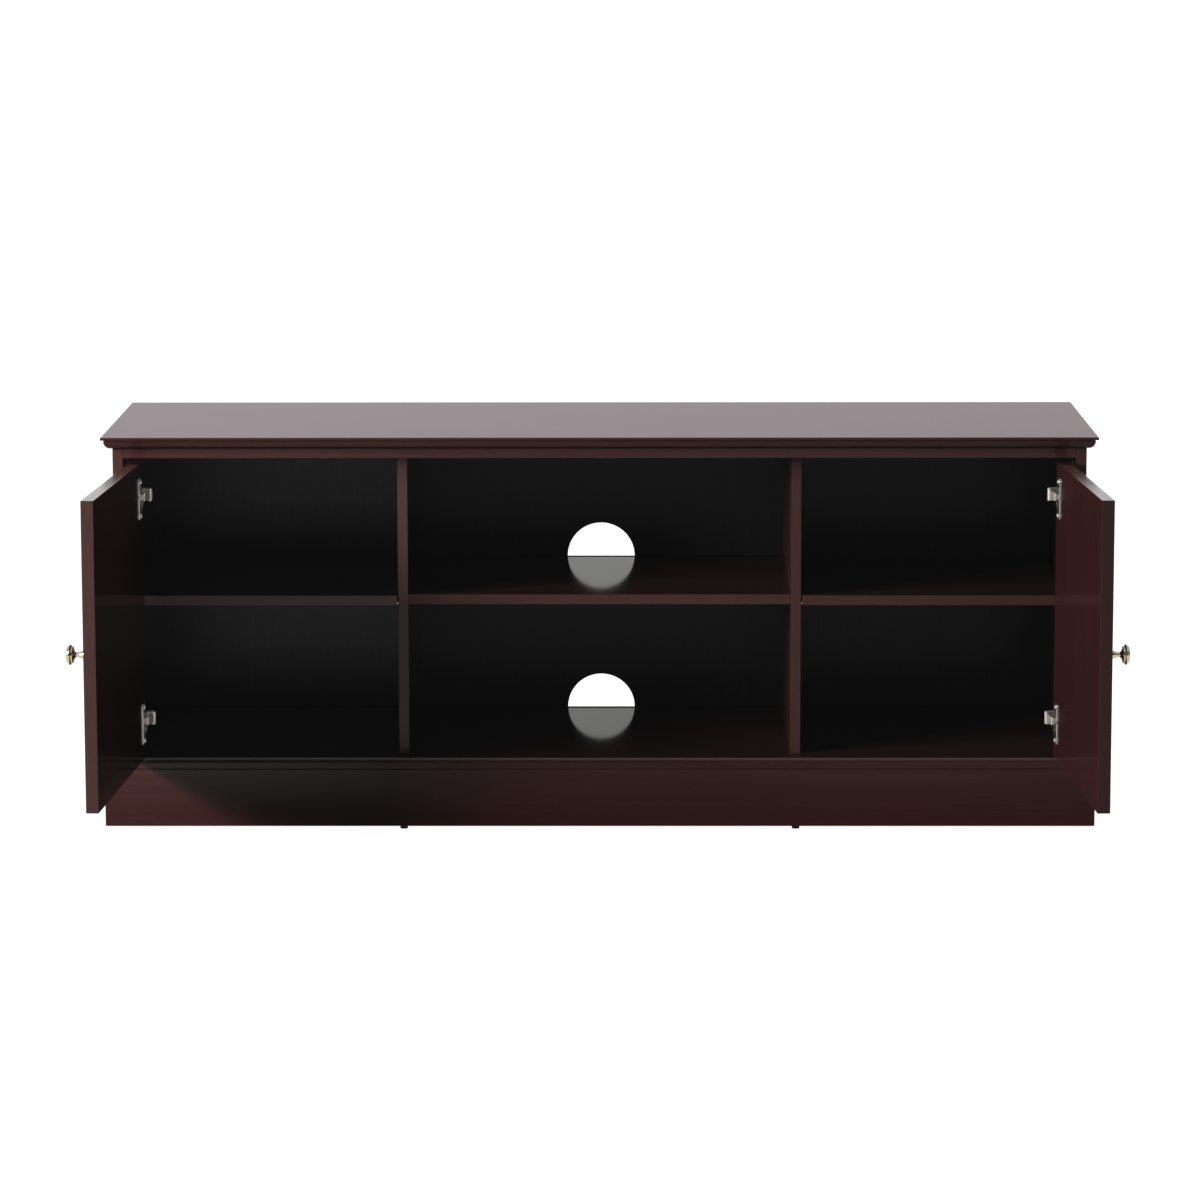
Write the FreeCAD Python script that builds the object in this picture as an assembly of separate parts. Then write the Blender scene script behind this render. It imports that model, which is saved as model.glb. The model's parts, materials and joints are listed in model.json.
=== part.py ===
import FreeCAD, Part
import math
import os

V = FreeCAD.Vector
os.makedirs("parts", exist_ok=True)

# ---------------------------------------------------------------------------
# Television stand: a low cabinet with a moulded top, three bays, two inset
# doors on concealed cup hinges, a skirted plinth and cable notches behind the
# middle bay.  Millimetres.  +X right, +Y towards the back, +Z up, z = 0 floor.
# Working frame below: y = 0 is the front plane of the case.  Everything is
# shifted by Y_SHIFT at export, so that the origin is the middle of the
# floor rectangle covered with both doors open.
# ---------------------------------------------------------------------------

# overall
HEIGHT = 614.0             # floor to top surface
TOP_W = 1524.0             # moulded top, nose to nose
TOP_FRONT = -18.0          # nose of the top, ahead of the case front
TOP_BACK = 418.0           # plain back edge of the top
TOP_T = 18.0

# case
CASE_W = 1491.0            # outside of the side panels
BOARD = 16.0               # side panels, dividers, shelves, bottom
CASE_D = 411.0             # depth of the side panels
APRON_H = 16.0
APRON_D = 18.0
BACK_T = 5.0
Z_UNDER_TOP = HEIGHT - TOP_T
Z_BOTTOM = HEIGHT - 501.2  # upper face of the bottom panel
Z_SHELF = HEIGHT - 251.0   # upper face of the middle shelf
SIDE_SHELF_DROP = 0.6      # the loose side shelves sit a touch lower
DIV_X = 303.5              # divider centre, each side
DIV_SETBACK = 34.0         # front edges of dividers and middle shelf
SIDE_SHELF_SETBACK = 28.0
SIDE_SHELF_GAP = 1.5       # play at each end of a loose shelf

# plinth and feet
PLINTH_T = 18.0
PLINTH_TOP = HEIGHT - 505.5
PLINTH_BOTTOM = 8.8
GROOVE_DROP = 10.0         # decorative groove below the plinth's upper edge
FOOT_R = 6.0

# cable notches
NOTCH_R = 54.4

# doors
DOOR_T = 19.0
DOOR_GAP_HINGE = 4.0       # closed gap beside the side panel
DOOR_W = 412.0
DOOR_TOP = HEIGHT - 39.8
DOOR_BOTTOM = HEIGHT - 499.6
DOOR_OPEN = 93.5           # degrees open as stored
DOOR_OPEN_X = 29.2         # open: inner face at the hinge edge, from the side panel
DOOR_OPEN_Y = 6.0          # open: hinge edge, behind the case front
KNOB_FROM_EDGE = 25.0
KNOB_Z = HEIGHT - 269.7

# hinges (distances from the side panel's inner face and from the case front)
HINGE_Z = (HEIGHT - 93.7, HEIGHT - 443.3)
ARM_PIN_X = 38.0
ARM_PIN_Y = 25.0
CUP_U = 20.2               # cup centre from the door's hinge edge
CUP_R = 17.5
CUP_DEPTH = 13.0
CUP_PIN_V = 5.0            # cup pin below the door's inner face
FLANGE_U = 27.0            # flange middle and screws from the door's hinge edge
FLANGE_W = 22.0
FLANGE_H = 65.0
FLANGE_SCREWS = 52.0       # spacing of the flange screws
PIN_R_ARM = 1.5
PIN_R_CUP = 1.25
RUN = 0.05                 # running clearance of the link on its pins

EASE = 1.0                 # eased arrises

XI = CASE_W / 2 - BOARD    # inner face of a side panel, from the middle
XO = CASE_W / 2


# ---------------------------------------------------------------------------
# helpers
# ---------------------------------------------------------------------------
def box(x0, x1, y0, y1, z0, z1):
    return Part.makeBox(x1 - x0, y1 - y0, z1 - z0, V(x0, y0, z0))


def cyl(x, y, z, axis, r, h):
    return Part.makeCylinder(r, h, V(x, y, z), V(*axis))


def prism(pts, z0, z1):
    """Plan polygon (x, y) extruded from z0 to z1."""
    p = [V(a, b, z0) for a, b in pts]
    return Part.Face(Part.makePolygon(p + [p[0]])).extrude(V(0, 0, z1 - z0))


def ease(shape, test, r=EASE):
    """Round the straight edges whose midpoint and direction pass the test."""
    pick = []
    for e in shape.Edges:
        a, b = e.Vertexes[0].Point, e.Vertexes[-1].Point
        m = (a + b) * 0.5
        d = b - a
        if d.Length < 1e-6:
            continue
        d.normalize()
        if test(m, d):
            pick.append(e)
    return shape.makeFillet(r, pick) if pick else shape


def cut_all(shape, tools):
    for t in tools:
        shape = shape.cut(t)
    return shape


def one(shape):
    s = shape.Solids
    return s[0] if len(s) == 1 else Part.makeCompound(s)


def cross(x, y, z, axis, reach, width, depth):
    """Cross recess sunk into a screw head; axis points out of the head."""
    a = Part.makeBox(2 * reach, width, 2 * depth, V(-reach, -width / 2, -depth))
    b = Part.makeBox(width, 2 * reach, 2 * depth, V(-width / 2, -reach, -depth))
    c = a.fuse(b)
    c.Placement = FreeCAD.Placement(V(x, y, z), FreeCAD.Rotation(V(0, 0, 1), V(*axis)))
    return c


def mirror_x(shape):
    return shape.mirror(V(0, 0, 0), V(1, 0, 0))


# ---------------------------------------------------------------------------
# fasteners and fittings first: the boards are bored for them
# ---------------------------------------------------------------------------
cam_bolts, cam_locks, dowels, divider_screws, divider_bores = [], [], [], [], []
z_mid_bottom = Z_BOTTOM - BOARD / 2
z_mid_shelf = Z_SHELF - BOARD / 2
X_SIDE_MID = XO - BOARD / 2

for s in (-1, 1):
    for y in (60.0, 340.0):
        # bottom panel to side panels
        cam_bolts.append(cyl(s * (XI + 11), y, z_mid_bottom, (-s, 0, 0), 3.0, 37.0))
        cam_locks.append(cyl(s * (XI - 34), y, Z_BOTTOM - BOARD, (0, 0, 1), 7.5, 12.5))
        # side panels to the top
        cam_bolts.append(cyl(s * X_SIDE_MID, y, Z_UNDER_TOP + 11, (0, 0, -1), 3.0, 37.0))
        cam_locks.append(cyl(s * XI, y, Z_UNDER_TOP - 34, (s, 0, 0), 7.5, 12.5))
    for y in (90.0, 330.0):
        # middle shelf to the dividers
        xf = DIV_X - BOARD / 2
        cam_bolts.append(cyl(s * (xf + 11), y, z_mid_shelf, (-s, 0, 0), 3.0, 37.0))
        cam_locks.append(cyl(s * (xf - 34), y, Z_SHELF - BOARD, (0, 0, 1), 7.5, 12.5))
    for y in (110.0, 290.0):
        dowels.append(cyl(s * (XI + 10), y, z_mid_bottom, (-s, 0, 0), 4.0, 30.0))
        dowels.append(cyl(s * X_SIDE_MID, y, Z_UNDER_TOP - 18, (0, 0, 1), 4.0, 30.0))
        dowels.append(cyl(s * DIV_X, y, Z_UNDER_TOP - 18, (0, 0, 1), 4.0, 30.0))
        dowels.append(cyl(s * DIV_X, y, Z_BOTTOM - 12, (0, 0, 1), 4.0, 30.0))
    for y in (150.0, 270.0):
        dowels.append(cyl(s * (DIV_X - BOARD / 2 + 10), y, z_mid_shelf, (-s, 0, 0), 4.0, 30.0))
    # apron to the side panels
    dowels.append(cyl(s * (XI + 10), APRON_D / 2, Z_UNDER_TOP - APRON_H / 2, (-s, 0, 0), 4.0, 30.0))
    # long screws up through the bottom panel into the dividers
    for y in (70.0, 340.0):
        shank = cyl(s * DIV_X, y, Z_BOTTOM - BOARD, (0, 0, 1), 2.5, 50.0)
        head = Part.makeCone(5.0, 2.5, 4.0, V(s * DIV_X, y, Z_BOTTOM - BOARD), V(0, 0, 1))
        divider_bores.append(one(shank.fuse(head)))
        divider_screws.append(one(divider_bores[-1].cut(
            cross(s * DIV_X, y, Z_BOTTOM - BOARD, (0, 0, -1), 2.6, 0.9, 1.6))))

# shelf pins with a small collar
shelf_pins = []
pin_z = Z_SHELF - SIDE_SHELF_DROP - BOARD - 2.5
for s in (-1, 1):
    for y in (70.0, 345.0):
        a = cyl(s * (XI + 9), y, pin_z, (-s, 0, 0), 2.5, 17.0)
        c = cyl(s * XI, y, pin_z, (-s, 0, 0), 3.4, 1.2)
        shelf_pins.append(one(a.fuse(c)))
        xf = DIV_X + BOARD / 2
        a = cyl(s * (xf - 6), y, pin_z, (s, 0, 0), 2.5, 14.0)
        c = cyl(s * xf, y, pin_z, (s, 0, 0), 3.4, 1.2)
        shelf_pins.append(one(a.fuse(c)))

# pan-head screws of the back panels
back_screws = []


def back_screw(x, z):
    y = CASE_D + BACK_T
    shank = cyl(x, y, z, (0, -1, 0), 1.5, 19.0)
    head = cyl(x, y, z, (0, 1, 0), 3.3, 1.7)
    head = head.makeFillet(0.8, [e for e in head.Edges if e.BoundBox.YMin > y + 1.6])
    back_screws.append(one(shank.fuse(head).cut(cross(x, y + 1.7, z, (0, 1, 0), 1.9, 0.8, 1.1))))


for s in (-1, 1):
    for z in (130.0, 280.0, 430.0, 560.0):
        back_screw(s * (XO - 8), z)
        back_screw(s * (DIV_X + 4.4), z)
    for z in (150.0, 300.0, 410.0, 560.0):
        back_screw(s * (DIV_X - 4.4), z)
    for x in (200.0,):
        back_screw(s * x, Z_BOTTOM - 8)
        back_screw(s * x, Z_SHELF - 4)
    back_screw(s * 520.0, Z_BOTTOM - 8)


# ---------------------------------------------------------------------------
# hinge geometry, worked out for the left side and mirrored
# local plan: X from the side panel's inner face towards the bay, Y from the
# case front; world x = -XI + X
# ---------------------------------------------------------------------------
PHI = math.radians(DOOR_OPEN)
DU = (math.cos(PHI), -math.sin(PHI))        # along the open door, away from the hinge
DV = (-math.sin(PHI), -math.cos(PHI))       # into the open door from its inner face


def closed_pt(u, v):
    return (DOOR_GAP_HINGE + u, DOOR_T - v)


def open_pt(u, v):
    return (DOOR_OPEN_X + u * DU[0] + v * DV[0], DOOR_OPEN_Y + u * DU[1] + v * DV[1])


def pin_error(u):
    a, b = closed_pt(u, CUP_PIN_V), open_pt(u, CUP_PIN_V)
    return (math.hypot(ARM_PIN_X - a[0], ARM_PIN_Y - a[1])
            - math.hypot(ARM_PIN_X - b[0], ARM_PIN_Y - b[1]))


# the cup pin keeps one distance from the arm pin, closed and open
lo, hi = 3.0, 20.0
for _ in range(80):
    mid = (lo + hi) / 2
    if pin_error(lo) * pin_error(mid) <= 0:
        hi = mid
    else:
        lo = mid
CUP_PIN_U = (lo + hi) / 2
Q_CLOSED = closed_pt(CUP_PIN_U, CUP_PIN_V)
Q_OPEN = open_pt(CUP_PIN_U, CUP_PIN_V)
LINK_TURN = math.degrees(math.atan2(Q_OPEN[1] - ARM_PIN_Y, Q_OPEN[0] - ARM_PIN_X)
                         - math.atan2(Q_CLOSED[1] - ARM_PIN_Y, Q_CLOSED[0] - ARM_PIN_X))
LINK_TURN = (LINK_TURN + 180.0) % 360.0 - 180.0


def wx(x):
    return -XI + x


def to_open(shape):
    """Left-door pieces are made closed and swung to the stored open pose."""
    c = closed_pt(0, 0)
    s = shape.copy()
    s.translate(V(-wx(c[0]), -c[1], 0))
    s.rotate(V(0, 0, 0), V(0, 0, 1), -DOOR_OPEN)
    s.translate(V(wx(DOOR_OPEN_X), DOOR_OPEN_Y, 0))
    return s


plates, arms, arm_pins, links = [], [], [], []
cups, cup_pins, cup_screws, plate_screws, arm_screws = [], [], [], [], []
door_bores, panel_bores = [], []

for hz in HINGE_Z:
    # mounting plate: wings on the side panel with a raised saddle for the arm
    wing = box(wx(0), wx(1.5), 30.0, 46.0, hz - 26.0, hz + 26.0)
    wing = ease(wing, lambda m, d: abs(d.x) > 0.9, 5.0)
    saddle = box(wx(1.5), wx(7.5), 34.0, 66.0, hz - 10.5, hz + 10.5)
    plate = one(wing.fuse(saddle))
    for dz in (-18.0, 18.0):
        shank = cyl(wx(1.5), 38.0, hz + dz, (-1, 0, 0), 1.8, 14.0)
        head = cyl(wx(1.5), 38.0, hz + dz, (1, 0, 0), 3.4, 1.8)
        plate_screws.append(one(shank.fuse(head).cut(
            cross(wx(3.3), 38.0, hz + dz, (1, 0, 0), 2.0, 0.8, 1.2))))
        panel_bores.append(shank)
        plate = plate.cut(shank)
    screw = one(cyl(wx(14.0), 54.0, hz, (-1, 0, 0), 2.0, 11.0).fuse(
        cyl(wx(14.0), 54.0, hz, (1, 0, 0), 3.6, 2.2)))
    arm_screws.append(one(screw.cut(cross(wx(16.2), 54.0, hz, (1, 0, 0), 2.2, 0.9, 1.4))))
    plates.append(one(plate.cut(screw)))

    # cranked arm: a channel with two cheeks, open to the front at the crank
    cheek = [(7.5, 66.0), (7.5, 40.0), (26.0, 31.0), (33.6, 23.4), (36.2, 21.7),
             (39.2, 21.7), (40.7, 23.2), (40.7, 30.6), (37.4, 34.0), (14.0, 44.5), (14.0, 66.0)]
    web = [(40.7, 29.0), (40.7, 30.6), (37.4, 34.0), (14.0, 44.5), (14.0, 66.0),
           (12.5, 66.0), (12.5, 43.5), (36.5, 32.8), (39.2, 30.0), (39.2, 29.0)]
    cheek = [(wx(a), b) for a, b in cheek]
    web = [(wx(a), b) for a, b in web]
    arm = prism(web, hz - 9.3, hz + 9.3)
    arm = arm.fuse(prism(cheek, hz + 7.8, hz + 9.3)).fuse(prism(cheek, hz - 9.3, hz - 7.8))
    arm = arm.removeSplitter()
    pin = cyl(wx(ARM_PIN_X), ARM_PIN_Y, hz - 10.0, (0, 0, 1), PIN_R_ARM, 20.0)
    arm_pins.append(pin)
    arms.append(one(arm.cut(pin).cut(screw)))

    # bent link between the arm pin and the cup pin, made at the open pose
    P = (ARM_PIN_X, ARM_PIN_Y)
    E = open_pt(CUP_PIN_U + 0.2, -3.2)
    Q = Q_OPEN

    def bar(a, b, t, z0, z1):
        L = math.hypot(b[0] - a[0], b[1] - a[1])
        nx, ny = -(b[1] - a[1]) / L * t / 2, (b[0] - a[0]) / L * t / 2
        return prism([(wx(a[0] + nx), a[1] + ny), (wx(b[0] + nx), b[1] + ny),
                      (wx(b[0] - nx), b[1] - ny), (wx(a[0] - nx), a[1] - ny)], z0, z1)

    link = bar(Q, E, 2.2, hz - 4.5, hz + 4.5)
    link = link.fuse(cyl(wx(Q[0]), Q[1], hz - 4.5, (0, 0, 1), 2.3, 9.0))
    link = link.fuse(cyl(wx(E[0]), E[1], hz - 6.0, (0, 0, 1), 1.1, 12.0))
    L = math.hypot(P[0] - E[0], P[1] - E[1])
    ex, ey = (P[0] - E[0]) / L, (P[1] - E[1]) / L
    taper = [(0.0, -6.0), (L, -7.4), (L, 7.4), (0.0, 6.0)]
    taper = [V(wx(E[0] + a * ex + 1.1 * ey), E[1] + a * ey - 1.1 * ex, hz + b) for a, b in taper]
    blade = Part.Face(Part.makePolygon(taper + [taper[0]])).extrude(V(-2.2 * ey, 2.2 * ex, 0))
    link = link.fuse(blade)
    link = link.fuse(cyl(wx(P[0]), P[1], hz - 7.4, (0, 0, 1), 2.5, 14.8))
    link = link.cut(cyl(wx(Q[0]), Q[1], hz - 20, (0, 0, 1), PIN_R_CUP + RUN, 40.0))
    link = link.cut(cyl(wx(P[0]), P[1], hz - 20, (0, 0, 1), PIN_R_ARM + RUN, 40.0))
    links.append(one(link))

    # cup with its flange, closed pose: bored into the door's inner face
    cx, cy = wx(closed_pt(CUP_U, 0)[0]), DOOR_T
    shell = cyl(cx, cy, hz, (0, -1, 0), CUP_R, CUP_DEPTH)
    ring = cyl(cx, cy, hz, (0, 1, 0), CUP_R + 1.0, 1.5)
    fx = wx(closed_pt(FLANGE_U, 0)[0])
    flange = box(fx - FLANGE_W / 2, fx + FLANGE_W / 2, DOOR_T, DOOR_T + 1.5,
                 hz - FLANGE_H / 2, hz + FLANGE_H / 2)
    flange = ease(flange, lambda m, d: abs(d.y) > 0.9, 6.0)
    hollow = cyl(cx, cy + 5, hz, (0, -1, 0), CUP_R - 1.0, CUP_DEPTH - 1.0 + 5)
    cover = ring.fuse(flange).removeSplitter()
    cover = cover.makeFillet(0.6, [e for e in cover.Edges if e.BoundBox.YMin > DOOR_T + 1.49])
    cup = shell.fuse(cover).cut(hollow).removeSplitter()
    qx, qy = wx(Q_CLOSED[0]), Q_CLOSED[1]
    cpin = cyl(qx, qy, hz - 9.0, (0, 0, 1), PIN_R_CUP, 18.0)
    cup = cup.cut(cpin)
    door_bores.append(shell)
    for dz in (-FLANGE_SCREWS / 2, FLANGE_SCREWS / 2):
        shank = cyl(fx, DOOR_T + 1.5, hz + dz, (0, -1, 0), 1.8, 13.0)
        head = cyl(fx, DOOR_T + 1.5, hz + dz, (0, 1, 0), 3.4, 1.8)
        head = head.makeFillet(0.8, [e for e in head.Edges if e.BoundBox.YMin > DOOR_T + 3.2])
        cs = one(shank.fuse(head).cut(cross(fx, DOOR_T + 3.3, hz + dz, (0, 1, 0), 2.0, 0.8, 1.2)))
        cup_screws.append(to_open(cs))
        cup = cup.cut(shank)
        door_bores.append(shank)
    cups.append(to_open(one(cup)))
    cup_pins.append(to_open(cpin))

# ---------------------------------------------------------------------------
# knob: turned, with a flared base, a neck and a stepped disc
# ---------------------------------------------------------------------------
kx = wx(closed_pt(DOOR_W - KNOB_FROM_EDGE, 0)[0])


def line(a, b):
    return Part.LineSegment(V(a[0], 0, a[1]), V(b[0], 0, b[1])).toShape()


def arc(a, m, b):
    return Part.Arc(V(a[0], 0, a[1]), V(m[0], 0, m[1]), V(b[0], 0, b[1])).toShape()


# radius, distance from the door's face; the face is a shallow spherical dome
DOME_EDGE, DOME_LOW, DOME_HIGH = 11.4, 27.8, 29.2
DOME_R = (DOME_EDGE ** 2 + (DOME_HIGH - DOME_LOW) ** 2) / (2 * (DOME_HIGH - DOME_LOW))
dome_mid = (DOME_EDGE / 2, DOME_HIGH - DOME_R + math.sqrt(DOME_R ** 2 - DOME_EDGE ** 2 / 4))
kn = [
    line((0, 0), (7.6, 0)),
    line((7.6, 0), (7.6, 1.2)),
    arc((7.6, 1.2), (5.2, 7.2), (3.7, 13.2)),
    arc((3.7, 13.2), (5.0, 16.2), (8.4, 17.8)),
    arc((8.4, 17.8), (10.6, 18.5), (12.6, 19.0)),
    line((12.6, 19.0), (12.6, 20.3)),
    line((12.6, 20.3), (11.8, 20.8)),
    line((11.8, 20.8), (11.8, 21.4)),
    arc((11.8, 21.4), (14.3, 21.9), (15.1, 23.2)),
    arc((15.1, 23.2), (14.6, 24.7), (13.2, 25.2)),
    line((13.2, 25.2), (12.7, 25.4)),
    arc((12.7, 25.4), (12.5, 26.8), (DOME_EDGE, DOME_LOW)),
    arc((DOME_EDGE, DOME_LOW), dome_mid, (0, DOME_HIGH)),
    line((0, DOME_HIGH), (0, 0)),
]
profile = Part.Face(Part.Wire(kn))
knob = profile.revolve(V(0, 0, 0), V(0, 0, 1), 360)
knob = one(Part.makeSolid(knob) if knob.ShapeType == "Shell" else knob)
knob.rotate(V(0, 0, 0), V(1, 0, 0), 90)           # axis now -Y, out of the closed door
knob.translate(V(kx, 0, KNOB_Z))
# double-ended screw, hidden in the knob and in a blind hole of the door
kscrew = cyl(kx, DOOR_T - 5.0, KNOB_Z, (0, -1, 0), 2.0, DOOR_T - 5.0 + 10.0)
knob = one(knob.cut(kscrew))

# ---------------------------------------------------------------------------
# doors
# ---------------------------------------------------------------------------
dx0 = wx(DOOR_GAP_HINGE)
door = box(dx0, dx0 + DOOR_W, 0, DOOR_T, DOOR_BOTTOM, DOOR_TOP)
door = door.makeFillet(EASE, door.Edges)
door = cut_all(door, door_bores + [kscrew])
left_door = to_open(one(door))
left_knob = to_open(knob)
left_knob_screw = to_open(kscrew)

# ---------------------------------------------------------------------------
# top: the front and side mouldings meet in mitres at the front corners
# ---------------------------------------------------------------------------


def nose(p0, sgn):
    """Edge moulding from the upper face down to the underside.
    p0 is the nose position, sgn points inwards."""
    def q(d, z):
        return (p0 + sgn * d, HEIGHT - z)
    return [
        ("l", q(1.0, 0), None),
        ("a", q(0.29, 0.29), q(0, 1.0)),
        ("l", q(0, 3.6), None),
        ("a", q(0.2, 4.1), q(0.7, 4.3)),
        ("l", q(6.2, 4.3), None),
        ("l", q(6.2, 5.6), None),
        ("l", q(4.4, 5.6), None),
        ("a", q(6.5, 13.3), q(13.0, TOP_T)),
    ]


def outline(start, steps, place):
    edges, cur = [], start
    for kind, a, b in steps:
        if kind == "l":
            edges.append(Part.LineSegment(place(cur), place(a)).toShape())
            cur = a
        else:
            edges.append(Part.Arc(place(cur), place(a), place(b)).toShape())
            cur = b
    return edges, cur


def yz(p):
    return V(0, p[0], p[1])


def xz(p):
    return V(p[0], 0, p[1])


# front section, swept along X
start = (TOP_BACK, HEIGHT)
e1, cur = outline(start, nose(TOP_FRONT, 1), yz)
e2, cur2 = outline(cur, [("l", (TOP_BACK, Z_UNDER_TOP), None), ("l", start, None)], yz)
front_sec = Part.Face(Part.Wire(e1 + e2))
front_bar = front_sec.extrude(V(TOP_W + 40, 0, 0))
front_bar.translate(V(-TOP_W / 2 - 20, 0, 0))
# side section, swept along Y
start = (0.0, HEIGHT)
e1, cur = outline(start, nose(TOP_W / 2, -1), xz)
back_half = [("l", (-TOP_W / 2 + 13.0, Z_UNDER_TOP), None)]
e2, cur2 = outline(cur, back_half, xz)
e3, cur3 = outline(start, nose(-TOP_W / 2, 1), xz)
side_sec = Part.Face(Part.Wire(Part.__sortEdges__(e1 + e2 + e3)))
side_bar = side_sec.extrude(V(0, TOP_BACK - TOP_FRONT + 40, 0))
side_bar.translate(V(0, TOP_FRONT - 20, 0))
top = one(front_bar.common(side_bar))
top = cut_all(top, cam_bolts + dowels)

# ---------------------------------------------------------------------------
# case boards
# ---------------------------------------------------------------------------
side = box(-XO, -XI, 0, CASE_D, PLINTH_BOTTOM, Z_UNDER_TOP)
side = ease(side, lambda m, d: abs(m.y) < 1e-3 and abs(d.z) > 0.9)
left_tools = [t for t in cam_bolts + cam_locks + dowels + shelf_pins + back_screws
              if t.BoundBox.XMin < -XI + 1]
left_side = cut_all(side, left_tools + panel_bores)

div = box(-DIV_X - BOARD / 2, -DIV_X + BOARD / 2, DIV_SETBACK, CASE_D, Z_BOTTOM, Z_UNDER_TOP)
div = ease(div, lambda m, d: abs(m.y - DIV_SETBACK) < 1e-3 and abs(d.z) > 0.9)
div_tools = [t for t in cam_bolts + cam_locks + dowels + shelf_pins + back_screws + divider_bores
             if t.BoundBox.XMin < -DIV_X + BOARD / 2 and t.BoundBox.XMax > -DIV_X - BOARD / 2]
left_div = cut_all(div, div_tools)

bottom = box(-XI, XI, 0, CASE_D, Z_BOTTOM - BOARD, Z_BOTTOM)
bottom = ease(bottom, lambda m, d: abs(m.y) < 1e-3 and abs(d.x) > 0.9 and m.z > Z_BOTTOM - 1)
bottom = cut_all(bottom, [t for t in cam_bolts + cam_locks + dowels + divider_bores + back_screws
                          if t.BoundBox.ZMin < Z_BOTTOM])

apron = box(-XI, XI, 0, APRON_D, Z_UNDER_TOP - APRON_H, Z_UNDER_TOP)
apron = ease(apron, lambda m, d: abs(d.x) > 0.9 and m.z < Z_UNDER_TOP - 1)
apron = cut_all(apron, [t for t in dowels if t.BoundBox.YMax < APRON_D])

xs = DIV_X - BOARD / 2
shelf = box(-xs, xs, DIV_SETBACK, CASE_D, Z_SHELF - BOARD, Z_SHELF)
shelf = ease(shelf, lambda m, d: abs(m.y - DIV_SETBACK) < 1e-3 and abs(d.x) > 0.9)
shelf = cut_all(shelf, [t for t in cam_bolts + cam_locks + dowels + back_screws
                        if abs(t.BoundBox.Center.z - z_mid_shelf) < 12 and t.BoundBox.ZMax < Z_SHELF + 1
                        and t.BoundBox.ZMin > Z_SHELF - BOARD - 1])

zs = Z_SHELF - SIDE_SHELF_DROP
lshelf = box(-XI + SIDE_SHELF_GAP, -DIV_X - BOARD / 2 - SIDE_SHELF_GAP,
             SIDE_SHELF_SETBACK, CASE_D - 1.0, zs - BOARD, zs)
lshelf = ease(lshelf, lambda m, d: abs(m.y - SIDE_SHELF_SETBACK) < 1e-3)

# back panels; the middle bay has two, each with a half-round notch at its foot
def back(x0, x1, z0, z1):
    b = box(x0, x1, CASE_D, CASE_D + BACK_T, z0, z1)
    return b


def notch(z):
    c = cyl(0, CASE_D - 2, z, (0, 1, 0), NOTCH_R, BACK_T + 4)
    return c.fuse(box(-NOTCH_R, NOTCH_R, CASE_D - 2, CASE_D + BACK_T + 2, z - 40, z)).common(
        box(-100, 100, CASE_D - 3, CASE_D + BACK_T + 3, z - 40, z + 100))


BACK_LOW = Z_BOTTOM - BOARD + 2.0
BACK_HIGH = Z_UNDER_TOP - 0.5
left_back = cut_all(back(-XO + 3, -DIV_X - 0.3, BACK_LOW, BACK_HIGH), back_screws)
right_back = cut_all(back(DIV_X + 0.3, XO - 3, BACK_LOW, BACK_HIGH), back_screws)
mid_up = cut_all(back(-DIV_X + 0.3, DIV_X - 0.3, Z_SHELF - 8.0 + 0.3, BACK_HIGH), back_screws + [notch(Z_SHELF)])
mid_low = cut_all(back(-DIV_X + 0.3, DIV_X - 0.3, BACK_LOW, Z_SHELF - 8.0 - 0.3), back_screws + [notch(Z_BOTTOM)])

# ---------------------------------------------------------------------------
# plinth: mitred skirt with a fine groove under its upper edge
# ---------------------------------------------------------------------------
PX = XO + PLINTH_T


def plinth_section(place):
    """Section from the outer face (0) inwards (PLINTH_T), z absolute."""
    zg = PLINTH_TOP - GROOVE_DROP
    r = 0.6
    st = (PLINTH_T, PLINTH_TOP)
    steps = [
        ("l", (r, PLINTH_TOP), None),
        ("a", (r * 0.293, PLINTH_TOP - r * 0.293), (0, PLINTH_TOP - r)),
        ("l", (0, zg + 1.0), None),
        ("l", (1.3, zg), None),
        ("l", (0, zg - 1.0), None),
        ("l", (0, PLINTH_BOTTOM + 0.8), None),
        ("l", (0.8, PLINTH_BOTTOM), None),
        ("l", (PLINTH_T, PLINTH_BOTTOM), None),
        ("l", st, None),
    ]
    e, _ = outline(st, steps, place)
    return Part.Face(Part.Wire(e))


pf = plinth_section(lambda p: V(-PX, -PLINTH_T + p[0], p[1])).extrude(V(2 * PX, 0, 0))
ps = plinth_section(lambda p: V(-PX + p[0], -PLINTH_T, p[1])).extrude(V(0, CASE_D + PLINTH_T, 0))
# mitre: keep the side of the diagonal plane that belongs to each board
big_l = prism([(-PX - 5, -PLINTH_T - 5), (-PX + 300, -PLINTH_T + 300), (-PX - 5, -PLINTH_T + 300)], 0, 200)
big_r = mirror_x(big_l)
plinth_front = one(pf.cut(big_l).cut(big_r))
keep_front = prism([(-PX - 5, -PLINTH_T - 5), (-PX + 300, -PLINTH_T - 5), (-PX + 300, -PLINTH_T + 300)], 0, 200)
plinth_left = one(ps.cut(keep_front))

corner_blocks = []
for s in (-1, 1):
    b = prism([(s * XI, 0), (s * (XI - 45), 0), (s * XI, 45)], 22.0, Z_BOTTOM - BOARD)
    corner_blocks.append(b)

# posts under the dividers with black pads, and glides under the side panels
posts, pads, glides = [], [], []
for s in (-1, 1):
    for y in (9.0, 380.0):
        posts.append(cyl(s * DIV_X, y, 14.0, (0, 0, 1), 8.0, Z_BOTTOM - BOARD - 14.0))
        pads.append(cyl(s * DIV_X, y, 0, (0, 0, 1), FOOT_R, 14.0))
    for y in (60.0, 350.0):
        glides.append(cyl(s * X_SIDE_MID, y, 0, (0, 0, 1), 7.0, PLINTH_BOTTOM))


# ---------------------------------------------------------------------------
# export
# ---------------------------------------------------------------------------
Y_SHIFT = -(left_door.optimalBoundingBox(False).YMin + TOP_BACK) / 2.0


def group(items):
    return items[0] if len(items) == 1 else Part.makeCompound(items)


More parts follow.
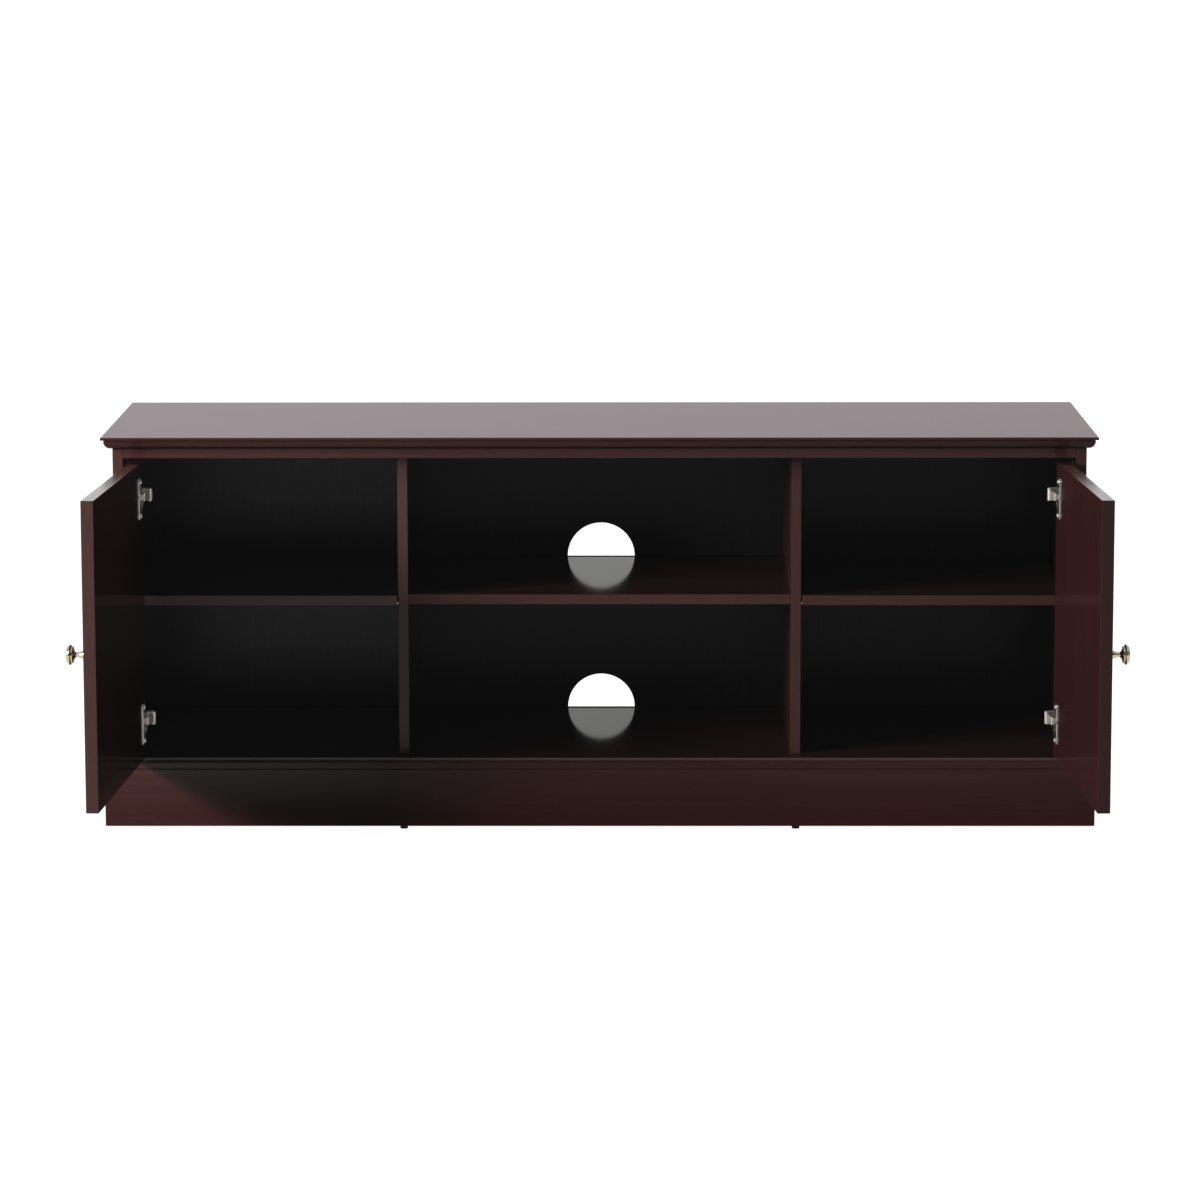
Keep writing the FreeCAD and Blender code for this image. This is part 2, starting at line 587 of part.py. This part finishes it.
def put(name, shape):
    s = shape.copy()
    s.translate(V(0, Y_SHIFT, 0))
    bad = [x for x in s.Solids if not x.isValid() or x.Volume <= 0]
    print("%-24s solids %2d  volume %12.1f %s" % (name, len(s.Solids), s.Volume, "INVALID" if bad else ""))
    s.exportStep("parts/%s.step" % name)


put("top_panel", top)
put("left_side_panel", left_side)
put("right_side_panel", mirror_x(left_side))
put("left_divider", left_div)
put("right_divider", mirror_x(left_div))
put("bottom_panel", bottom)
put("front_apron", apron)
put("centre_shelf", shelf)
put("left_shelf", lshelf)
put("right_shelf", mirror_x(lshelf))
put("left_back_panel", left_back)
put("right_back_panel", right_back)
put("centre_back_upper", mid_up)
put("centre_back_lower", mid_low)
put("plinth_front", plinth_front)
put("plinth_left", plinth_left)
put("plinth_right", mirror_x(plinth_left))
put("plinth_corner_blocks", group(corner_blocks))
put("support_posts", group(posts))
put("foot_pads", group(pads))
put("corner_glides", group(glides))
put("shelf_pins", group(shelf_pins))
put("cam_bolts", group(cam_bolts))
put("cam_locks", group(cam_locks))
put("dowels", group(dowels))
put("divider_screws", group(divider_screws))
put("back_panel_screws", group(back_screws))
for side_name, f in (("left", lambda s: s), ("right", mirror_x)):
    put(side_name + "_hinge_plates", group([f(s) for s in plates]))
    put(side_name + "_hinge_arms", group([f(s) for s in arms]))
    put(side_name + "_arm_pins", group([f(s) for s in arm_pins]))
    put(side_name + "_plate_screws", group([f(s) for s in plate_screws]))
    put(side_name + "_arm_screws", group([f(s) for s in arm_screws]))
    put(side_name + "_hinge_links", group([f(s) for s in links]))
    put(side_name + "_hinge_cups", group([f(s) for s in cups]))
    put(side_name + "_cup_pins", group([f(s) for s in cup_pins]))
    put(side_name + "_cup_screws", group([f(s) for s in cup_screws]))
    put(side_name + "_door", f(left_door))
    put(side_name + "_knob", f(left_knob))
    put(side_name + "_knob_screw", f(left_knob_screw))

print("Y_SHIFT %.7f" % Y_SHIFT)
print("arm pin left  x %.7f y %.7f" % (wx(ARM_PIN_X), ARM_PIN_Y + Y_SHIFT))
print("cup pin left (open)  x %.7f y %.7f" % (wx(Q_OPEN[0]), Q_OPEN[1] + Y_SHIFT))
print("link turn closed to open %.7f deg, door against link %.7f deg" % (LINK_TURN, DOOR_OPEN + LINK_TURN))
print("cup pin u %.3f" % CUP_PIN_U)
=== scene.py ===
import json
import math

import bpy
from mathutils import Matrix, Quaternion, Vector

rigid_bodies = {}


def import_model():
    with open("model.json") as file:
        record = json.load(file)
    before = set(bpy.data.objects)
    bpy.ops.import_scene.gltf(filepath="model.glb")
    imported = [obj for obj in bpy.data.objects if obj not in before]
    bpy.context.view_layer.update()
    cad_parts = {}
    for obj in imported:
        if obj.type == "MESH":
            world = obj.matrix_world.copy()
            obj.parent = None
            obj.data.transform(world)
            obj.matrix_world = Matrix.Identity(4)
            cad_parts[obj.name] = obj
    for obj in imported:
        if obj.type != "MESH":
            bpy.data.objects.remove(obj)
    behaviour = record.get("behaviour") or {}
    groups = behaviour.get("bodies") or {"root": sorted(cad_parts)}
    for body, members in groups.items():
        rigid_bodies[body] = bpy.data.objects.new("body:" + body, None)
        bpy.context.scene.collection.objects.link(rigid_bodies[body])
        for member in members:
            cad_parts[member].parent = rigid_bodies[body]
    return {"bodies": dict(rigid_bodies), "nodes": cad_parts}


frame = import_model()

# ---------------------------------------------------------------------------
# start from the frame alone
# ---------------------------------------------------------------------------
keep = set(frame["nodes"].values()) | set(frame["bodies"].values())
for o in list(bpy.data.objects):
    if o not in keep:
        bpy.data.objects.remove(o, do_unlink=True)
bpy.context.view_layer.update()
N = frame["nodes"]


# ---------------------------------------------------------------------------
# node helpers
# ---------------------------------------------------------------------------
class Tree:
    """A material's node tree with short ways to add and join nodes."""

    def __init__(self, name):
        self.mat = bpy.data.materials.new(name)
        self.mat.use_nodes = True
        self.nt = self.mat.node_tree
        self.nt.nodes.clear()
        self.out = self.add("ShaderNodeOutputMaterial")
        self.bsdf = self.add("ShaderNodeBsdfPrincipled")
        self.link(self.bsdf.outputs["BSDF"], self.out.inputs["Surface"])

    def add(self, kind, **props):
        n = self.nt.nodes.new(kind)
        for k, v in props.items():
            setattr(n, k, v)
        return n

    def link(self, a, b):
        self.nt.links.new(a, b)

    def set(self, **values):
        for k, v in values.items():
            self.bsdf.inputs[k.replace("_", " ")].default_value = v

    def coords(self, scale, shift):
        tc = self.add("ShaderNodeTexCoord")
        mp = self.add("ShaderNodeMapping")
        mp.inputs["Scale"].default_value = scale
        mp.inputs["Location"].default_value = shift
        self.link(tc.outputs["Object"], mp.inputs["Vector"])
        return mp.outputs["Vector"]

    def noise(self, vec, scale, detail=3.0, rough=0.5, distort=0.0):
        n = self.add("ShaderNodeTexNoise")
        n.inputs["Scale"].default_value = scale
        n.inputs["Detail"].default_value = detail
        n.inputs["Roughness"].default_value = rough
        n.inputs["Distortion"].default_value = distort
        self.link(vec, n.inputs["Vector"])
        return n.outputs["Fac"]

    def remap(self, value, a, b, c, d):
        m = self.add("ShaderNodeMapRange")
        m.inputs["From Min"].default_value = a
        m.inputs["From Max"].default_value = b
        m.inputs["To Min"].default_value = c
        m.inputs["To Max"].default_value = d
        self.link(value, m.inputs["Value"])
        return m.outputs["Result"]

    def math(self, op, a, b):
        m = self.add("ShaderNodeMath", operation=op)
        for i, v in enumerate((a, b)):
            if isinstance(v, (int, float)):
                m.inputs[i].default_value = v
            else:
                self.link(v, m.inputs[i])
        return m.outputs["Value"]

    def ramp(self, fac, stops):
        r = self.add("ShaderNodeValToRGB")
        e = r.color_ramp.elements
        while len(e) < len(stops):
            e.new(0.5)
        for i, (pos, col) in enumerate(stops):
            e[i].position = pos
            e[i].color = (*col, 1.0)
        self.link(fac, r.inputs["Fac"])
        return r.outputs["Color"]

    def mix(self, fac, a, b, blend="MIX"):
        m = self.add("ShaderNodeMix", data_type="RGBA", blend_type=blend)
        if isinstance(fac, (int, float)):
            m.inputs["Factor"].default_value = fac
        else:
            self.link(fac, m.inputs["Factor"])
        for key, v in (("A", a), ("B", b)):
            sock = [s for s in m.inputs if s.name == key and s.type == "RGBA"][0]
            if isinstance(v, tuple):
                sock.default_value = (*v, 1.0)
            else:
                self.link(v, sock)
        return [s for s in m.outputs if s.type == "RGBA"][0]

    def bump(self, height, strength, distance):
        b = self.add("ShaderNodeBump")
        b.inputs["Strength"].default_value = strength
        b.inputs["Distance"].default_value = distance
        self.link(height, b.inputs["Height"])
        self.link(b.outputs["Normal"], self.bsdf.inputs["Normal"])

    def arris(self, radius, low=0.02, high=0.2):
        """0 on flat faces, 1 along the arrises."""
        bev = self.add("ShaderNodeBevel", samples=4)
        bev.inputs["Radius"].default_value = radius
        geo = self.add("ShaderNodeNewGeometry")
        dot = self.add("ShaderNodeVectorMath", operation="DOT_PRODUCT")
        self.link(bev.outputs["Normal"], dot.inputs[0])
        self.link(geo.outputs["Normal"], dot.inputs[1])
        return self.remap(self.math("SUBTRACT", 1.0, dot.outputs["Value"]), low, high, 0.0, 1.0)


GRAIN = {  # along the grain: stretch of the pattern on each axis
    "x": (1.0, 26.0, 26.0),
    "y": (26.0, 1.0, 26.0),
    "z": (26.0, 26.0, 1.0),
}


def mahogany(name, axis, seed, tone=1.0, painted_shade_on_level_faces=False, edges="", spec=0.08, polished=False, ends=None, edge_spec=None, rear=None):
    """Dark red-brown lacquered wood with a quiet straight grain along the axis.
    painted_shade_on_level_faces: the level faces inside the case get a painted shade, mixed towards near black.
    edges: directions that the satin edge bands face; their lighter colour is partly the bands' own, partly a painted
    sheen.
    polished: the level edges have a bright lacquer.
    ends: from, to and shine of the lacquer towards the two ends of a long piece.
    edge_spec: shine of the edge bands in front.
    rear: where, along the depth, a painted shade starts: a near-black strip without shine runs to the back edge."""
    t = Tree(name)
    shift = (seed * 1.37 % 9.0, seed * 2.11 % 7.0, seed * 0.73 % 5.0)
    v = t.coords(GRAIN[axis], shift)
    broad = t.noise(v, 2.2, 4.0, 0.55, 0.6)
    fine = t.noise(v, 26.0, 6.0, 0.62, 0.15)
    pores = t.noise(v, 70.0, 2.0, 0.5)
    c = lambda r, g, b: (r * tone, g * tone, b * tone)
    base = t.ramp(t.remap(broad, 0.28, 0.72, 0.0, 1.0), [
        (0.0, c(0.0360, 0.0108, 0.0094)), (0.45, c(0.0410, 0.0124, 0.0108)), (1.0, c(0.0465, 0.0146, 0.0126))])
    streak = t.ramp(t.remap(fine, 0.3, 0.7, 0.0, 1.0), [(0.0, (0.72, 0.70, 0.70)), (1.0, (1.22, 1.2, 1.2))])
    col = t.mix(0.45, base, streak, "MULTIPLY")
    pits = t.remap(pores, 0.62, 0.74, 0.0, 1.0)
    col = t.mix(t.math("MULTIPLY", pits, 0.45), col, c(0.0140, 0.0045, 0.0040))
    # painted shade: the level faces inside the case are mixed towards near black, standing for the shade there
    if painted_shade_on_level_faces:
        flat = t.add("ShaderNodeSeparateXYZ")
        t.link(t.add("ShaderNodeNewGeometry").outputs["Normal"], flat.inputs["Vector"])
        level = t.remap(t.math("ABSOLUTE", flat.outputs["Z"], 0.0), 0.90, 0.99, 0.0, 0.72)
        col = t.mix(level, col, (0.0085, 0.0058, 0.0056))
    rough = t.math("ADD", t.remap(fine, 0.3, 0.7, 0.115, 0.135), t.math("MULTIPLY", pits, 0.02))
    if rear:                    # the fixed boards of the middle bay are smoother
        rough = t.math("MULTIPLY", rough, 0.62)
    if edges:
        side = t.add("ShaderNodeSeparateXYZ")
        t.link(t.add("ShaderNodeTexCoord").outputs["Normal"], side.inputs["Vector"])
        band = t.math("ABSOLUTE", side.outputs[edges[0]], 0.0)
        for k in edges[1:]:
            band = t.math("MAXIMUM", band, t.math("ABSOLUTE", side.outputs[k], 0.0))
        band = t.remap(band, 0.85, 0.97, 0.0, 1.0)
        # painted sheen: the edge bands' lighter, less red colour is partly their own tone and partly the sheen of the
        # light on them
        tape_and_sheen = t.mix(0.75, tuple(x * tone ** 0.5 for x in (0.0575, 0.0242, 0.0211)), streak, "MULTIPLY")
        col = t.mix(band, col, tape_and_sheen)
        rough = t.math("ADD", rough, t.math("MULTIPLY", band, 0.26))
    worn = t.arris(0.0012)
    blotch = t.noise(t.coords((1.0, 1.0, 1.0), shift), 30.0, 3.0)
    worn = t.math("MULTIPLY", worn, t.remap(blotch, 0.35, 0.7, 0.15, 0.6))
    col = t.mix(worn, col, c(0.085, 0.036, 0.030))
    t.bsdf.inputs["Specular IOR Level"].default_value = spec
    shine = spec
    if ends:
        along = t.add("ShaderNodeSeparateXYZ")
        t.link(t.add("ShaderNodeTexCoord").outputs["Object"], along.inputs["Vector"])
        shine = along.outputs["X"] if ends[0] < 0 else t.math("ABSOLUTE", along.outputs["X"], 0.0)
        shine = t.remap(shine, ends[0], ends[1], spec, ends[2])
        if len(ends) > 3:       # the foot of the skirt is duller
            shine = t.math("MULTIPLY", shine, t.remap(along.outputs["Z"], ends[3], ends[4], 0.4, 2.0))
        t.link(shine, t.bsdf.inputs["Specular IOR Level"])
    # painted shade along the back edge, where the board meets the back panel: mixed to near black, with no shine
    if rear:
        deep = t.add("ShaderNodeSeparateXYZ")
        t.link(t.add("ShaderNodeTexCoord").outputs["Object"], deep.inputs["Vector"])
        rear_shade = t.remap(deep.outputs["Y"], rear, rear + 0.001, 0.0, 1.0)
        col = t.mix(rear_shade, col, (0.0060, 0.0045, 0.0042))
        shine = t.math("MULTIPLY", t.math("SUBTRACT", 1.0, rear_shade), shine)
        t.link(shine, t.bsdf.inputs["Specular IOR Level"])
    if edge_spec:
        glint = t.math("MULTIPLY", band, edge_spec)
        if rear:
            glint = t.math("MULTIPLY", glint, t.math("SUBTRACT", 1.0, rear_shade))
        t.link(t.math("MAXIMUM", glint, shine), t.bsdf.inputs["Specular IOR Level"])
    if polished:
        up = t.add("ShaderNodeSeparateXYZ")
        t.link(t.add("ShaderNodeTexCoord").outputs["Normal"], up.inputs["Vector"])
        lacquer = t.remap(t.math("ABSOLUTE", up.outputs["Z"], 0.0), 0.85, 0.97, 0.0, 1.0)
        t.link(t.remap(lacquer, 0.0, 1.0, spec, 1.0), t.bsdf.inputs["Specular IOR Level"])
        t.link(lacquer, t.bsdf.inputs["Coat Weight"])
        t.bsdf.inputs["Coat Roughness"].default_value = 0.19
        rough = t.math("ADD", rough, t.math("MULTIPLY", lacquer, 0.09))
    t.link(col, t.bsdf.inputs["Base Color"])
    t.link(rough, t.bsdf.inputs["Roughness"])
    t.set(Metallic=0.0, IOR=1.5)
    h = t.math("ADD", t.math("MULTIPLY", fine, 0.5), t.math("MULTIPLY", pits, -0.6))
    t.bump(h, 0.012, 0.0005)
    return t.mat


def back_board(name, seed, spec=0.08):
    """Thin dark faced board, almost black, satin."""
    t = Tree(name)
    v = t.coords((22.0, 22.0, 1.0), (seed * 1.9 % 6.0, seed * 0.8 % 4.0, seed * 2.3 % 5.0))
    fine = t.noise(v, 24.0, 5.0, 0.6, 0.1)
    broad = t.noise(v, 2.0, 3.0, 0.5, 0.5)
    base = t.ramp(t.remap(broad, 0.3, 0.7, 0.0, 1.0), [(0.0, (0.0090, 0.0086, 0.0088)), (1.0, (0.0130, 0.0125, 0.0128))])
    streak = t.ramp(t.remap(fine, 0.3, 0.7, 0.0, 1.0), [(0.0, (0.75, 0.75, 0.75)), (1.0, (1.2, 1.2, 1.2))])
    t.link(t.mix(0.7, base, streak, "MULTIPLY"), t.bsdf.inputs["Base Color"])
    t.link(t.remap(fine, 0.3, 0.7, 0.26, 0.32), t.bsdf.inputs["Roughness"])
    t.set(Metallic=0.0, IOR=1.45)
    t.bsdf.inputs["Specular IOR Level"].default_value = spec
    t.bump(fine, 0.03, 0.0004)
    return t.mat


def raw_wood(name, axis, seed):
    t = Tree(name)
    v = t.coords(GRAIN[axis], (seed * 1.1, seed * 0.6, seed * 1.7))
    fine = t.noise(v, 20.0, 6.0, 0.6, 0.3)
    broad = t.noise(v, 2.5, 3.0, 0.5, 0.8)
    base = t.ramp(t.remap(broad, 0.3, 0.7, 0.0, 1.0), [(0.0, (0.36, 0.22, 0.11)), (1.0, (0.56, 0.39, 0.22))])
    streak = t.ramp(t.remap(fine, 0.3, 0.7, 0.0, 1.0), [(0.0, (0.7, 0.66, 0.6)), (1.0, (1.1, 1.1, 1.1))])
    t.link(t.mix(0.8, base, streak, "MULTIPLY"), t.bsdf.inputs["Base Color"])
    t.link(t.remap(fine, 0.3, 0.7, 0.6, 0.75), t.bsdf.inputs["Roughness"])
    t.bump(fine, 0.15, 0.0006)
    return t.mat


def metal(name, low, high, rough, seed, scale=180.0, bump=0.05, metallic=1.0, stretch=(1.0, 1.0, 1.0)):
    t = Tree(name)
    v = t.coords(stretch, (seed * 0.9, seed * 1.7, seed * 0.4))
    fine = t.noise(v, scale, 4.0, 0.6)
    cloud = t.noise(v, 60.0, 3.0, 0.5)
    base = t.ramp(t.remap(cloud, 0.3, 0.7, 0.0, 1.0), [(0.0, low), (1.0, high)])
    worn = t.arris(0.0006, 0.03, 0.3)
    t.link(t.mix(t.math("MULTIPLY", worn, 0.35), base, tuple(min(1.0, x * 1.25) for x in high)), t.bsdf.inputs["Base Color"])
    t.link(t.remap(fine, 0.3, 0.7, rough * 0.8, rough * 1.25), t.bsdf.inputs["Roughness"])
    t.set(Metallic=metallic)
    t.bump(fine, bump, 0.0002)
    return t.mat


def plastic(name, col, seed):
    t = Tree(name)
    v = t.coords((1.0, 1.0, 1.0), (seed, seed * 0.3, 0.0))
    fine = t.noise(v, 420.0, 3.0, 0.6)
    cloud = t.noise(v, 40.0, 3.0)
    t.link(t.ramp(t.remap(cloud, 0.3, 0.7, 0.0, 1.0), [(0.0, tuple(x * 0.8 for x in col)), (1.0, tuple(x * 1.3 for x in col))]),
           t.bsdf.inputs["Base Color"])
    t.link(t.remap(fine, 0.3, 0.7, 0.45, 0.6), t.bsdf.inputs["Roughness"])
    t.bsdf.inputs["Specular IOR Level"].default_value = 0.1
    t.bump(fine, 0.2, 0.0003)
    return t.mat


def dress(node, mat):
    me = N[node].data
    me.materials.clear()
    me.materials.append(mat)


# ---------------------------------------------------------------------------
# finishes of the pieces
# ---------------------------------------------------------------------------
for i, (node, axis) in enumerate((
        ("top_panel", "x"), ("front_apron", "x"), ("bottom_panel", "x"), ("centre_shelf", "x"),
        ("left_shelf", "x"), ("right_shelf", "x"), ("plinth_front", "x"), ("plinth_left", "y"),
        ("plinth_right", "y"), ("left_side_panel", "z"), ("right_side_panel", "z"), ("left_divider", "z"),
        ("right_divider", "z"), ("left_door", "z"), ("right_door", "z"))):
    inside = "shelf" in node or node == "bottom_panel"
    door = node.endswith("_door")
    edges = "Y" if door or inside or node.endswith(("_divider", "_side_panel")) else ""
    # the doors take a painted shade, a darker tone than the other boards, and the front apron a painted light, a
    # lighter tone
    tone = 0.66 if door else 1.15 if node == "front_apron" else 1.0
    spec = {"left_shelf": 0.25, "left_divider": 0.20, "left_door": 0.13, "front_apron": 0.11}.get(node, 0.03 if "plinth" in node else 0.08)
    ends = {"plinth_front": (-0.22, -0.66, 0.085, 0.03, 0.10), "bottom_panel": (-0.30, -0.38, 0.60)}.get(node)
    rear = 0.390 if node in ("centre_shelf", "bottom_panel") else None
    dress(node, mahogany("mahogany_" + node, axis, i + 1, tone, inside, edges, spec, door or node == "left_shelf", ends,
                         1.0 if node == "bottom_panel" else None, rear))
for i, node in enumerate(("left_back_panel", "right_back_panel", "centre_back_upper", "centre_back_lower")):
    dress(node, back_board("board_" + node, i + 1, 0.16 if i == 0 else 0.08))
dress("dowels", raw_wood("beech_dowels", "x", 1))
dress("plinth_corner_blocks", raw_wood("pine_blocks", "z", 2))
dress("support_posts", raw_wood("pine_posts", "z", 3))

# the hinge nickel comes in two copies: the left hinges, in shade, get a lighter copy (painted light); the right hinges,
# in the key light, get a darker copy (painted shade)
nickel_with_painted_light_and_shade = {"left": metal("nickel_plate_left_painted_light", (0.68, 0.65, 0.60), (0.78, 0.75, 0.70), 0.50, 1),
          "right": metal("nickel_plate_right_painted_shade", (0.58, 0.55, 0.50), (0.68, 0.65, 0.60), 0.32, 5, metallic=0.72)}
cup_nickel_with_painted_light_and_shade = {"left": metal("nickel_cups_left_painted_light", (0.53, 0.505, 0.455), (0.62, 0.595, 0.545), 0.32, 6, metallic=0.80),
              "right": metal("nickel_cups_right_painted_shade", (0.41, 0.385, 0.355), (0.48, 0.455, 0.42), 0.26, 7)}
zinc = metal("zinc_plate", (0.52, 0.52, 0.52), (0.64, 0.64, 0.63), 0.34, 2, 260.0, 0.08)
brass = metal("pale_brass", (0.46, 0.395, 0.255), (0.55, 0.475, 0.325), 0.12, 3, 90.0, 0.012)
black = plastic("black_plastic", (0.012, 0.012, 0.012), 4)
for s in ("left", "right"):
    for k in ("_hinge_plates", "_hinge_arms", "_hinge_links", "_hinge_cups", "_arm_pins", "_cup_pins"):
        dress(s + k, (cup_nickel_with_painted_light_and_shade if "_cup" in k else nickel_with_painted_light_and_shade)[s])
    for k in ("_plate_screws", "_arm_screws", "_cup_screws", "_knob_screw"):
        dress(s + k, zinc)
    dress(s + "_knob", brass)
for node in ("shelf_pins", "cam_bolts", "cam_locks", "divider_screws", "back_panel_screws"):
    dress(node, zinc)
for node in ("foot_pads", "corner_glides"):
    dress(node, black)

# ---------------------------------------------------------------------------
# stage: pale floor, soft studio light
# ---------------------------------------------------------------------------
bpy.ops.mesh.primitive_plane_add(size=160.0, location=(0.0, 0.0, 0.0))
floor = bpy.context.object
floor.name = "studio_floor"
t = Tree("studio_floor")
spread = t.noise(t.coords((1.0, 1.0, 1.0), (0.0, 0.0, 0.0)), 3.0, 2.0)
t.link(t.ramp(spread, [(0.0, (0.09, 0.09, 0.09)), (1.0, (0.11, 0.11, 0.11))]), t.bsdf.inputs["Base Color"])
t.set(Roughness=0.9)
t.bsdf.inputs["Specular IOR Level"].default_value = 0.1
t.bsdf.inputs["Emission Color"].default_value = (1.0, 1.0, 1.0, 1.0)
t.bsdf.inputs["Emission Strength"].default_value = 0.98
floor.data.materials.append(t.mat)
floor.visible_diffuse = False

# studio surround: dim in front, a bright sweep behind, a pale floor in reflections
world = bpy.data.worlds.new("studio")
bpy.context.scene.world = world
world.use_nodes = True
wt = world.node_tree
bg = wt.nodes["Background"]


def wnode(kind, **props):
    n = wt.nodes.new(kind)
    for k, v in props.items():
        setattr(n, k, v)
    return n


def wrange(value, a, b, c, d):
    m = wnode("ShaderNodeMapRange", interpolation_type="SMOOTHSTEP")
    for k, v in (("From Min", a), ("From Max", b), ("To Min", c), ("To Max", d)):
        m.inputs[k].default_value = v
    wt.links.new(value, m.inputs["Value"])
    return m.outputs["Result"]


def wmix(fac, a, b):
    m = wnode("ShaderNodeMix", data_type="RGBA")
    wt.links.new(fac, m.inputs["Factor"])
    for key, v in (("A", a), ("B", b)):
        sock = [x for x in m.inputs if x.name == key and x.type == "RGBA"][0]
        if isinstance(v, tuple):
            sock.default_value = (*v, 1.0)
        else:
            wt.links.new(v, sock)
    return [x for x in m.outputs if x.type == "RGBA"][0]


direction = wnode("ShaderNodeTexCoord")
split = wnode("ShaderNodeSeparateXYZ")
wt.links.new(direction.outputs["Generated"], split.inputs["Vector"])
ray = wnode("ShaderNodeLightPath")
behind = wrange(split.outputs["Y"], -0.15, 0.30, 0.0, 1.0)
rightward = wrange(split.outputs["X"], -0.55, 0.55, 0.0, 1.0)
sweep = wmix(rightward, (0.86, 0.835, 0.905), (0.59, 0.575, 0.62))
warm = wmix(rightward, (0.800, 0.806, 0.770), (0.550, 0.555, 0.530))
sweep = wmix(wrange(split.outputs["Z"], 0.146, 0.160, 0.0, 1.0), sweep, warm)
upper = wmix(behind, (0.115, 0.115, 0.120), sweep)
bounce = wmix(behind, (0.05, 0.05, 0.05), (0.30, 0.30, 0.30))
lower = wmix(ray.outputs["Is Glossy Ray"], bounce, (0.72, 0.72, 0.74))
below = wrange(split.outputs["Z"], 0.0, -0.04, 0.0, 1.0)
# a broad soft box overhead that shows in reflections
canopy = wnode("ShaderNodeMath", operation="MULTIPLY")
wt.links.new(ray.outputs["Is Glossy Ray"], canopy.inputs[0])
wt.links.new(wrange(split.outputs["Z"], 0.55, 0.80, 0.0, 1.0), canopy.inputs[1])
upper = wmix(canopy.outputs["Value"], upper, (0.92, 0.91, 0.89))
around = wmix(below, upper, lower)
wt.links.new(wmix(ray.outputs["Is Camera Ray"], around, (1.0, 1.0, 1.0)), bg.inputs["Color"])
bg.inputs["Strength"].default_value = 1.0


def lamp(name, kind, loc, target, energy, **props):
    d = bpy.data.lights.new(name, kind)
    d.energy = energy
    for k, v in props.items():
        setattr(d, k, v)
    o = bpy.data.objects.new(name, d)
    bpy.context.scene.collection.objects.link(o)
    o.location = loc
    o.rotation_mode = "QUATERNION"
    o.rotation_quaternion = (Vector(target) - Vector(loc)).to_track_quat("-Z", "Y")
    return o


overhead = lamp("overhead", "SUN", (0.0, 2.0, 6.0), (0.0, 0.0, 0.0), 4.4, angle=math.radians(32))
overhead.visible_glossy = False
lamp("key_left", "AREA", (-3.05, -2.01, 1.415), (0.1, 0.0, 0.35), 133.0, shape="DISK", size=1.0)
lamp("key_side", "AREA", (-3.67, -1.31, 1.95), (0.1, 0.0, 0.35), 146.0, shape="DISK", size=0.6)

# ---------------------------------------------------------------------------
# camera at the photograph's viewing angle
# ---------------------------------------------------------------------------
IMAGE = 1200.0
FOCAL_PX = 4349.1
cam_data = bpy.data.cameras.new("camera")
cam = bpy.data.objects.new("camera", cam_data)
bpy.context.scene.collection.objects.link(cam)
cam_data.sensor_fit = "HORIZONTAL"
cam_data.sensor_width = 36.0
cam_data.lens = 36.0 * FOCAL_PX / IMAGE
cam_data.shift_y = -0.1
cam_data.clip_start, cam_data.clip_end = 0.05, 400.0
pitch, yaw, roll = math.radians(8.1655), math.radians(-0.4123), math.radians(-0.087)
cam.location = (0.0486, -6.5976, 1.4921)
ahead = Vector((math.sin(yaw) * math.cos(pitch), math.cos(yaw) * math.cos(pitch), -math.sin(pitch)))
cam.rotation_mode = "QUATERNION"
cam.rotation_quaternion = ahead.to_track_quat("-Z", "Y") @ Quaternion((0.0, 0.0, 1.0), roll)
bpy.context.scene.camera = cam
tone = bpy.context.scene.view_settings
tone.view_transform = "Standard"
tone.use_curve_mapping = True       # slight lens veil: blacks stay a little open
tone.curve_mapping.black_level = (-0.0032, -0.0032, -0.0032)
tone.curve_mapping.update()

bpy.context.view_layer.update()
